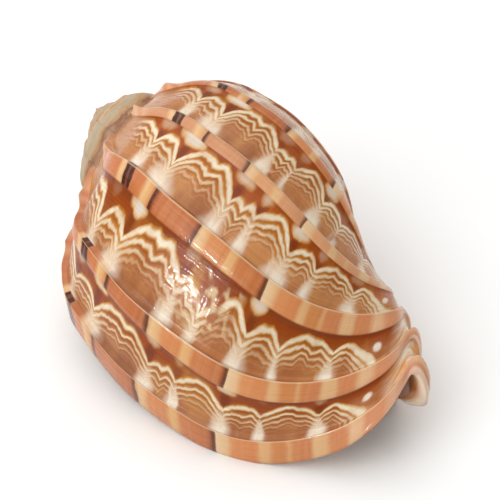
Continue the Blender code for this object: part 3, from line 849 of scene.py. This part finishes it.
RIB_STOPS_NEW = (  # s from the join to twice as far
    (0.462, "#C07C4A"), (0.485, "#BC7644"), (0.505, "#AE6838"), (0.516, "#9A5630"), (0.521, "#F0DDB4"),
    (0.536, "#E9CC9C"), (0.546, "#DC9862"), (0.583, "#D8905C"), (0.590, "#E6C28E"), (0.601, "#E2B984"),
    (0.609, "#D09058"), (0.627, "#CC8A54"), (0.634, "#DDB07C"), (0.642, "#CE8A58"), (0.667, "#CA865A"),
    (0.678, "#E6C694"), (0.695, "#E0BC8C"), (0.704, "#CE8A5C"), (0.729, "#CE8E62"), (0.740, "#E6C69C"),
    (0.754, "#E2BD94"), (0.768, "#CE9068"), (0.79, "#D49A74"), (0.805, "#E2BFA0"), (0.825, "#CE9070"),
    (0.85, "#DAB096"), (0.885, "#C4866A"), (0.92, "#D2A284"))
# nearly black bars: from and to along the profile, how soft each end is, and how strong
RIB_BARS = ((0.1895, 0.1965, 0.0018, 0.003, 0.97), (0.2030, 0.2090, 0.003, 0.0022, 0.93),
            (0.190, 0.208, 0.002, 0.002, 0.7), (0.2690, 0.2722, 0.0012, 0.009, 0.85),
            (0.3712, 0.3735, 0.009, 0.0010, 0.8), (0.5163, 0.5185, 0.010, 0.0010, 0.75))


def rib_colour(put, s):
    """Colour along a rib: salmon and orange blocks between cream bands."""
    join = RIB_STOPS_JOIN
    older = put("range", s, 0.0, join)
    newer = put("range", s, join, 2.0 * join)
    older = set_stops(put("ramp", older), [(p / join, c) for p, c in RIB_STOPS_OLD])
    newer = set_stops(put("ramp", newer), [((p - join) / join, c) for p, c in RIB_STOPS_NEW])
    return put("mix", put("more", s, join), older, newer)


# chestnut patches in the glaze, in metres where the shell lies: middle and size, and how soft they end
GLAZE_PATCHES = (((-0.0125, -0.001, 0.006), 0.0085), ((0.0215, 0.003, 0.004), 0.0075))
GLAZE_PATCH_SOFT = 0.0016


def glaze_colour(put, colours, place):
    """Cream glaze with two ragged chestnut patches on the belly and pillar, and fine darker clouding."""
    cloud = put("noise", place, 130.0, 4.0, 0.6)
    ragged = put("*", put("+", cloud, -0.5), 0.016)
    patches = []
    for centre, size in GLAZE_PATCHES:
        away = put("+", put("vector", place, centre, operation="DISTANCE"), ragged)
        patches.append(put("ease", away, size + GLAZE_PATCH_SOFT, size - GLAZE_PATCH_SOFT))
    fine = put("noise", place, 260.0, 4.0, 0.6)
    base = put("mix", put("range", fine, 0.3, 0.75), colours.callus, "#E2B98F")
    return put("mix", put("*", put("max", *patches), 0.85), base, colours.blotch)


def new_material(name):
    """An empty node material, the way to add nodes to it, and its shader."""
    material = bpy.data.materials.new(name)
    material.use_nodes = True
    return material, partial(add, material.node_tree), material.node_tree.nodes["Principled BSDF"]


def set_shader(shader, inputs):
    """Link or set the shader's own sockets by name."""
    for name, value in inputs.items():
        feed(shader.inputs[name], value)


def banded_aragonite(colours):
    """Outside of the shell: crossed-lamellar aragonite laid down in growth lines, under a thin gloss.

    The pigment went in at the growing lip, so the pattern follows the growth lines; the eye sees
    salmon ribs with cream and near-black bars, red brown fields with nested cream scallops, fine
    streaks along the growth lines, and broken highlights where the light crosses them.
    """
    material, put, shader = new_material("banded glossy aragonite")
    s, turns, faintest = read_numbers(put, "shell_place")
    share, first, spacing = read_numbers(put, "shell_field")
    away, white, band = read_numbers(put, "shell_point")
    glaze, worn, deep = read_numbers(put, "shell_cover")
    thick, chance, patch_size = read_numbers(put, "shell_line")
    place = put("place", out="Object")
    spot = turns, s

    # unevenness of the pattern: long along the growth, fine along the profile
    plan = stretched(put, spot, 34.0, 50.0, chance)
    wave = put("noise", plan, 1.0, 1.0, 0.4)
    ripple = put("noise", put("vector", plan, (1.6, 2.4, 1.0), operation="MULTIPLY"), 1.0, 1.0, 0.5)
    both = put("*+", wave, 3.0, ripple)
    shift = put("*", put("+", both, -2.0), 0.6)
    growing = put("range", share, 0.1, 0.7, 0.055, 0.13)
    share_bent = put("*+", shift, growing, share)

    # lines: count of line spacings past the first line, and how far off the nearest line
    past = put("-", share_bent, first)
    crowd = put("range", past, 0.0, 1.0, 1.0, 1.8)
    count = put("*", put("/", past, spacing), crowd)
    phase = put("-", put("fract", put("+", count, 0.5)), 0.5)
    off = put("abs", phase)
    begun = put("ease", count, -0.5, -0.46)
    width = put("*", put("range", count, 0.4, 0.6, 0.245, 0.2), thick)
    line = put("ease", off, put("*", width, 1.45), put("*", width, 0.3))
    halo = put("ease", off, put("*", width, 2.5), width)
    fading = put("range", count, 0.4, 4.2, 1.0, 0.0)
    upper = put("ease", s, 0.085, 0.14)
    reach = put("*", upper, put("ease", s, 0.785, 0.765), begun)
    worn_away = put("range", put("noise", plan, 0.8, 1.0, 0.5), 0.35, 0.6, faintest, 1.0)
    strength = put("*", reach, fading, worn_away)
    line = put("*", line, strength)
    halo = put("*", halo, strength, 0.85)

    # brown border just past each line
    border_start = put("+", width, 0.12)
    rising = put("ease", phase, width, border_start)
    falling = put("ease", phase, put("+", width, 0.42), border_start)
    border = put("*", rising, falling, strength)

    # fields: brown beside the older rib, tan towards the newer one, with clouds of both
    streak = grain(put, spot, 460.0, 7.0, 0.0, 3.0, 0.6)
    cloud = put("noise", plan, 0.35, 3.0, 0.55)
    tanned = put("*", put("ease", share, 0.05, 0.8), put("range", deep, 0.0, 1.0, 1.0, 0.72))
    brown = put("mix", put("range", deep, 0.3, 1.0), "#A85222", colours.brown)
    shade = put("range", cloud, 0.42, 0.68, 0.0, 0.55)
    straw = put("range", cloud, 0.46, 0.3, 0.0, 0.5)
    strip = put("*", put("ease", share_bent, 0.17, 0.03), deep, 0.6)
    smudge = put("*", put("ease", share_bent, 0.55, 1.0), plateau(put, s, 0.285, 0.365, 0.02, 0.008),
                 put("range", cloud, 0.35, 0.6, 0.1, 0.4))

    # cream blots where the lines are torn
    blot = put("noise", put("vector", plan, (2.6, 1.3, 1.0), operation="MULTIPLY"), 1.0, 1.0, 0.5)
    blot = put("*", put("ease", blot, 0.47, 0.7, 0.0, 0.75), put("range", faintest, 0.6, 0.1),
               plateau(put, share, 0.12, 0.75, 0.08, 0.2))

    # dark wedge between the white patch and the zigzag's point
    marked = put("*", put("range", white, 0.0, 0.3), 0.75)
    wedge = put("*", put("ease", away, 0.015, 0.003), put("ease", share_bent, 0.12, 0.26),
                put("ease", count, -0.1, -0.5), upper, marked)

    # cream fan from the points to the newer rib
    wide = put("*", put("range", share, 0.4, 1.0, 0.12, 1.9), patch_size)
    fan = put("ease", put("*+", shift, 0.016, away), wide, put("*", wide, 0.05))
    opening = put("*", put("ease", count, -0.2, 1.0), put("range", share, 0.35, 0.95, 0.5, 1.0))
    fan = put("*", fan, opening, reach, put("range", ripple, 0.25, 0.5, 0.75, 1.0))

    # white patch beside the older rib: it runs on from the rib's cream band and ends before the point
    tall = put("/", away, patch_size)
    tall = put("*", tall, tall)
    long = put("/", put("+", share_bent, -0.02), 0.14)
    torn = put("+", put("noise", plan, 1.1, 2.0, 0.5), -0.5)
    out = put("*+", torn, 1.6, put("*+", long, long, tall))
    warm = put("*", put("ease", out, 1.9, 0.7), white, 0.8)
    patch = put("*", put("ease", out, 1.3, -0.1), white, 0.93)

    # oval white spot in the last gap before the collar
    spot_s = put("/", put("-", s, 0.7585), 0.0085)
    spot_u = put("/", put("-", share_bent, 0.5), 0.13)
    oval = put("*+", spot_u, spot_u, put("*", spot_s, spot_s))
    oval = put("ease", oval, 1.6, 0.1, 0.0, 0.95)

    # shoulder and collar: plain streaked tan above the pattern, pinkish streaks below it
    shoulder = put("*", put("ease", s, 0.15, 0.08), 0.85)
    slope = put("mix", put("range", cloud, 0.35, 0.65), "#B47648", "#CA9464")
    banding = grain(put, spot, 90.0, 26.0, 3.0, 3.0, 0.5)
    pink = put("mix", put("ease", banding, 0.38, 0.62), "#F0B480", "#FFF0D8")
    field = layered(
        put, put("mix", tanned, brown, colours.tan), (shade, "#964A20"), (straw, "#C8904C"),
        (strip, "#7A3A12"), (smudge, "#7C4C36"), (blot, "#E8CFA4"), (wedge, colours.dark),
        (border, colours.edge), (fan, colours.fan), (halo, "#CB8F44"), (line, colours.line),
        (warm, "#E9BE83"), (patch, colours.white), (oval, colours.fan), (shoulder, slope),
        (put("ease", s, 0.775, 0.825), pink))

    # ribs: blocks and bars that lean a little with the band, turning into stripes along the rib below
    lean = put("range", s, 0.19, 0.28, -0.010, -0.002)
    along_band = put("*", put("less", band, 1.3), band)
    s_rib = put("*+", shift, 0.006, put("*+", lean, along_band, s))
    cross = grain(put, spot, 9.0, 150.0, chance, 2.0, 0.55)
    striped = set_stops(put("ramp", along_band), [
        (0.0, "#DDB08A"), (0.25, "#E6C09A"), (0.42, "#D69A74"), (0.55, "#C87F60"), (0.68, "#DDA888"),
        (0.8, "#EFDCC8"), (0.9, "#EBD3BA"), (1.0, "#DDB592")])
    bars = [put("*", plateau(put, s_rib, *ends), amount) for *ends, amount in RIB_BARS]
    # the last layer, a pale line along the crisp edge, is a painted highlight
    rib = layered(
        put, rib_colour(put, s_rib), (put("range", streak, 0.25, 0.75, 0.0, 0.22), "#C2694A"),
        (0.16, "#E8987A"), (put("range", cross, 0.42, 0.75, 0.0, 0.16), "#E8BC90"),
        (put("range", chance, 0.7, 0.85, 0.0, 0.3), "#EEC8A2"),
        (put("ease", s, 0.80, 0.88, 0.0, 0.9), striped), (put("max", *bars), colours.bar),
        (put("ease", band, 0.1, 0.02, 0.0, 0.5), "#F6D6B0"))

    # where the rib and its steep side show, and the dark lines on either side of it, which are painted shade
    cliff = put("ease", share, CLIFF_FROM - 0.006, CLIFF_FROM + 0.002)
    cliff = put("*", cliff, put("ease", s, 0.3, 0.2))
    on_rib = put("max", put("ease", band, 1.06, 0.97), cliff)
    # painted shade in the groove just past the band, on its newer side
    painted_groove_shade = put("*", plateau(put, band, 1.0, 1.06, 0.06, 0.16), 0.35, put("-", 1.0, patch))
    # painted shadow: a thin dark line at the foot of the next rib's steep side
    crisp = put("*", put("ease", share, 0.984, 0.994), put("range", s, 0.2, 0.3, 0.08, 0.4))
    base = layered(put, field, (on_rib, rib), (painted_groove_shade, colours.edge), (crisp, "#6A3A22"))

    # fine growth streaks over everything
    deepest = put("range", share, 0.2, 0.9, 0.86, 0.76)
    deepest = put("range", fan, 0.0, 0.8, deepest, 0.95)
    base = put("vector", base, put("range", streak, 0.3, 0.7, deepest, 1.02), operation="SCALE")

    # worn spire: chalky greyish tan with brown patches; glaze over the belly
    old = put("+", grain(put, spot, 9.0, 22.0, 5.0, 4.0, 0.6), -0.5)
    old_tint = set_stops(put("ramp", put("range", put("*+", old, 0.2, s), 0.0, 0.25)), [
        (0.0, "#B48258"), (0.12, "#A4714A"), (0.22, "#CDA57A"), (0.3, "#A87850"), (0.4, "#C6A27A"),
        (0.5, "#A8987E"), (0.62, "#B4A48A"), (0.74, "#B8946E"), (0.84, "#8C6450"), (0.92, "#A88468"),
        (1.0, "#A09080")])
    base = layered(put, base, (put("range", worn, 0.0, 0.85, 0.0, 0.97), old_tint),
                   (put("ease", glaze, 0.12, 0.7), glaze_colour(put, colours, place)))

    # relief: growth lines a third of a millimetre apart, and fainter threads across them
    thread = grain(put, spot, 12.0, 190.0, 0.0, 2.0, 0.5)
    fine = grain(put, spot, 420.0, 16.0, 0.0, 3.0, 0.6)
    bare = put("range", glaze, 0.0, 0.6, 1.0, 0.15)
    relief = put("*", put("*+", thread, 0.6, fine), bare,
                 put("range", s, 0.04, 0.2, 0.3, 1.0))
    # the gloss has a weave of its own, which breaks up the highlights
    wavy = grain(put, spot, 250.0, 25.0, 7.0, 1.0, 0.5)
    woven = grain(put, spot, 22.0, 180.0, 9.0, 1.0, 0.5)
    weave = put("*", put("*+", woven, 0.9, wavy), bare)
    set_shader(shader, {
        "Base Color": put("tone", None, 1.06, 0.99, None, base),
        "Normal": put("bump", 0.6, 0.00018, None, relief),
        "Coat Normal": put("bump", 1.0, 0.0001, None, weave),
        "Roughness": put("*+", worn, 0.3, put("range", fine, 0.2, 0.8, 0.2, 0.36)),
        "IOR": ARAGONITE_IOR, "Specular IOR Level": 0.1, "Coat Weight": 0.32, "Coat Roughness": 0.04,
        "Coat IOR": 1.5})
    return material


def porcelain_lining(colours):
    """Inside, lip edge and pillar: dense smooth aragonite, which looks like glazed porcelain.

    The outside's bands show at the lip's edge and fade inwards; the belly and pillar carry glaze.
    The canal's edge is pale and its hollow brown, darker the deeper in: partly its own colour and partly
    painted shade.
    """
    material, put, shader = new_material("porcelain-like shell lining")
    s, depth, which = read_numbers(put, "shell_place")
    place = put("place", out="Object")
    shine = rib_colour(put, s)
    near = put("ease", depth, -0.32, -0.03, 0.16, 0.85)
    fine = put("noise", place, 420.0, 3.0, 0.5)
    lining = put("mix", put("range", fine, 0.3, 0.7), colours.lining, "#E6CFB4")
    # canal's rolled edge: pale rim, then browns that darken deeper into the hollow, partly painted shade
    rolled = set_stops(put("ramp", put("range", depth, 0.0, -0.5)), [
        (0.0, "#E6BC98"), (0.01, "#F3E0CC"), (0.026, "#EAC6A4"), (0.045, "#B87846"), (0.3, "#9C5C30"),
        (1.0, "#8A5632")])
    wall = layered(put, lining, (near, shine), (put("ease", s, 0.80, 0.87), rolled))
    belly = layered(put, lining, (put("ease", depth, -2.2, -0.9), glaze_colour(put, colours, place)),
                    (put("range", which, 1.6, 1.2, 0.0, 0.7), "#9C5A2C"))
    set_shader(shader, {
        "Base Color": put("mix", put("range", which, 0.3, 0.7), wall, belly),
        "Roughness": put("range", fine, 0.2, 0.8, 0.16, 0.26),
        "Normal": put("bump", 0.15, 0.0001, None, fine),
        "IOR": ARAGONITE_IOR, "Coat Weight": 0.4, "Coat Roughness": 0.06})
    return material


def matte_backdrop(colour):
    """Floor: matte painted board, with a faint tooth that only softens the light."""
    material, put, shader = new_material("matte painted board")
    tooth = put("noise", put("place", out="Object"), 900.0, 2.0)
    set_shader(shader, {"Base Color": colour, "Roughness": put("range", tooth, 0.3, 0.7, 0.75, 0.9),
                        "Specular IOR Level": 0.2})
    return material


# operators

# lights: name, place, size and power; the window only shows as glints in the gloss
LIGHTS = (("window", (0.04, -0.63, 0.37), 0.07, 3.2), ("front", (-0.05, -0.60, 0.50), 0.6, 2.4),
          ("overhead", (-0.3, 0.05, 0.75), 1.3, 6.2))
ROOM_LIGHT = 0.45
FLOOR_HALF = 1.5  # metres from the floor's middle to its edge, and points along each side
FLOOR_POINTS = 13
# the photograph's camera: right, up and back as found from the ribs' spiral
CAMERA_AXES = ((0.71633, 0.69774, -0.00503), (-0.47976, 0.49775, 0.72255), (0.50666, -0.51517, 0.69130))


class OBJECT_OT_harp_shell(bpy.types.Operator):
    """Build the harp shell"""
    bl_idname = "object.harp_shell_add"
    bl_label = "Harp Shell"
    bl_options = {"REGISTER", "UNDO"}

    def execute(self, context):
        scene = context.scene
        mesh = build_mesh(scene.harp_shell_form)
        shell = bpy.data.objects.new("harp_shell_grown", mesh)
        scene.collection.objects.link(shell)
        mesh.materials.append(banded_aragonite(scene.harp_shell_colours))
        mesh.materials.append(porcelain_lining(scene.harp_shell_colours))
        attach(shell, "root")
        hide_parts("harp_shell")
        return {"FINISHED"}


class OBJECT_OT_harp_shell_studio(bpy.types.Operator):
    """Build the pale floor, the soft lights and the camera"""
    bl_idname = "object.harp_shell_studio"
    bl_label = "Studio"
    bl_options = {"REGISTER", "UNDO"}

    def execute(self, context):
        scene = context.scene
        studio = scene.harp_shell_studio
        mesh = bpy.data.meshes.new("floor")
        across = np.linspace(-FLOOR_HALF, FLOOR_HALF, FLOOR_POINTS)
        x, y = np.meshgrid(across, across, indexing="ij")
        index = np.arange(x.size).reshape(x.shape)
        mesh.from_pydata(np.stack([x, y, np.zeros_like(x)], -1).reshape(-1, 3), [],
                         grid_faces(index).reshape(-1, 4).tolist())
        mesh.materials.append(matte_backdrop(studio.floor))
        stand(scene, "floor", mesh, np.eye(3), (0.0, 0.0, 0.0))
        world = bpy.data.worlds.new("soft white room")
        scene.world = world
        world.use_nodes = True
        background = world.node_tree.nodes["Background"].inputs
        background["Color"].default_value = (1.0, 1.0, 1.0, 1.0)
        background["Strength"].default_value = ROOM_LIGHT
        for light in LIGHTS:
            add_light(scene, *light).visible_diffuse = light is not LIGHTS[0]
        camera = bpy.data.cameras.new("camera")
        camera.lens = studio.focal
        camera.sensor_width = 36.0
        camera.clip_start = 0.01
        bpy.context.scene.camera = stand(scene, "camera", camera, CAMERA_AXES, studio.place)
        scene.view_settings.view_transform = "Standard"
        return {"FINISHED"}


def stand(scene, name, data, axes, place):
    """An object with its own axes along the given ones, standing at a place."""
    holder = bpy.data.objects.new(name, data)
    matrix = np.eye(4)
    matrix[:3, :3] = np.stack(axes, -1)
    matrix[:3, 3] = place
    holder.matrix_world = Matrix(matrix.tolist())
    scene.collection.objects.link(holder)
    return holder


def add_light(scene, name, place, size, power):
    """A square soft light at a place, facing the shell's middle."""
    light = bpy.data.lights.new(name, "AREA")
    light.shape = "SQUARE"
    light.size = size
    light.energy = power
    back = np.array(place) - np.array([0.0, 0.0, 0.02])
    back = back / np.linalg.norm(back)
    side = np.cross([0.0, 0.0, 1.0], back)
    side = side / np.linalg.norm(side)
    return stand(scene, name, light, (side, np.cross(back, side), back), place)


class VIEW3D_PT_harp_shell(bpy.types.Panel):
    """Lists the shell's and the studio's operators and settings"""
    bl_idname = "VIEW3D_PT_harp_shell"
    bl_label = "Harp Shell"
    bl_space_type = "VIEW_3D"
    bl_region_type = "UI"
    bl_category = "Harp Shell"

    def draw(self, context):
        layout = self.layout
        for group in (context.scene.harp_shell_form, context.scene.harp_shell_colours,
                      context.scene.harp_shell_studio):
            box = layout.box()
            for name in group.bl_rna.properties.keys():
                if name not in ("rna_type", "name"):
                    box.prop(group, name)
        layout.operator(OBJECT_OT_harp_shell.bl_idname)
        layout.operator(OBJECT_OT_harp_shell_studio.bl_idname)


CLASSES = (HarpShellForm, HarpShellColours, HarpShellStudio, OBJECT_OT_harp_shell,
           OBJECT_OT_harp_shell_studio, VIEW3D_PT_harp_shell)


def register():
    for made in CLASSES:
        bpy.utils.register_class(made)
    bpy.types.Scene.harp_shell_form = bpy.props.PointerProperty(type=HarpShellForm)
    bpy.types.Scene.harp_shell_colours = bpy.props.PointerProperty(type=HarpShellColours)
    bpy.types.Scene.harp_shell_studio = bpy.props.PointerProperty(type=HarpShellStudio)


def unregister():
    del bpy.types.Scene.harp_shell_studio
    del bpy.types.Scene.harp_shell_colours
    del bpy.types.Scene.harp_shell_form
    for made in reversed(CLASSES):
        bpy.utils.unregister_class(made)


def main():
    """Register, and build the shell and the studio."""
    register()
    bpy.ops.object.harp_shell_add()
    bpy.ops.object.harp_shell_studio()
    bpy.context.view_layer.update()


if __name__ == "__main__":
    main()
